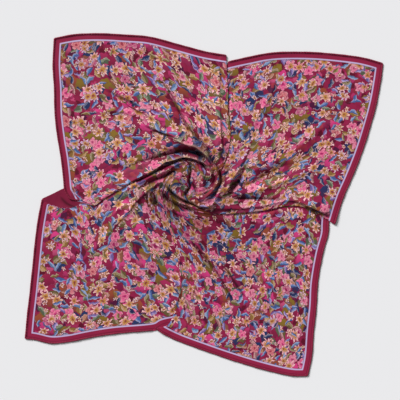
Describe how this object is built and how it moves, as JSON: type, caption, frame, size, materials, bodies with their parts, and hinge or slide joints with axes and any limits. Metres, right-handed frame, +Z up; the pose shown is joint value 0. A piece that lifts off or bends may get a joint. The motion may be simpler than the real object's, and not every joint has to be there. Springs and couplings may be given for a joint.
{
  "type": "silk square scarf",
  "caption": "Square silk scarf with rolled hems, laid flat with its middle twisted into a rosette and a pleat in each side.",
  "frame": {"origin": "middle of the outline's box, on the surface that the scarf lies on", "axes": "+Z up, away from the surface; +Y towards the far side as laid; +X to the right"},
  "size_m": [0.528, 0.5054, 0.0241],
  "materials": {
    "silk": "printed silk twill, satin sheen",
    "rolled_hem": "burgundy silk, rolled and whip-stitched"
  },
  "bodies": {
    "root": {"lobe_upper_left": "silk", "lobe_upper_right": "silk", "lobe_lower_right": "silk", "lobe_lower_left": "silk", "rosette": "silk", "hem_top_left": "rolled_hem", "hem_top_right": "rolled_hem", "hem_right_upper": "rolled_hem", "hem_right_lower": "rolled_hem", "hem_bottom_right": "rolled_hem", "hem_bottom_left": "rolled_hem", "hem_left_lower": "rolled_hem", "hem_left_upper": "rolled_hem"}
  },
  "joints": []
}
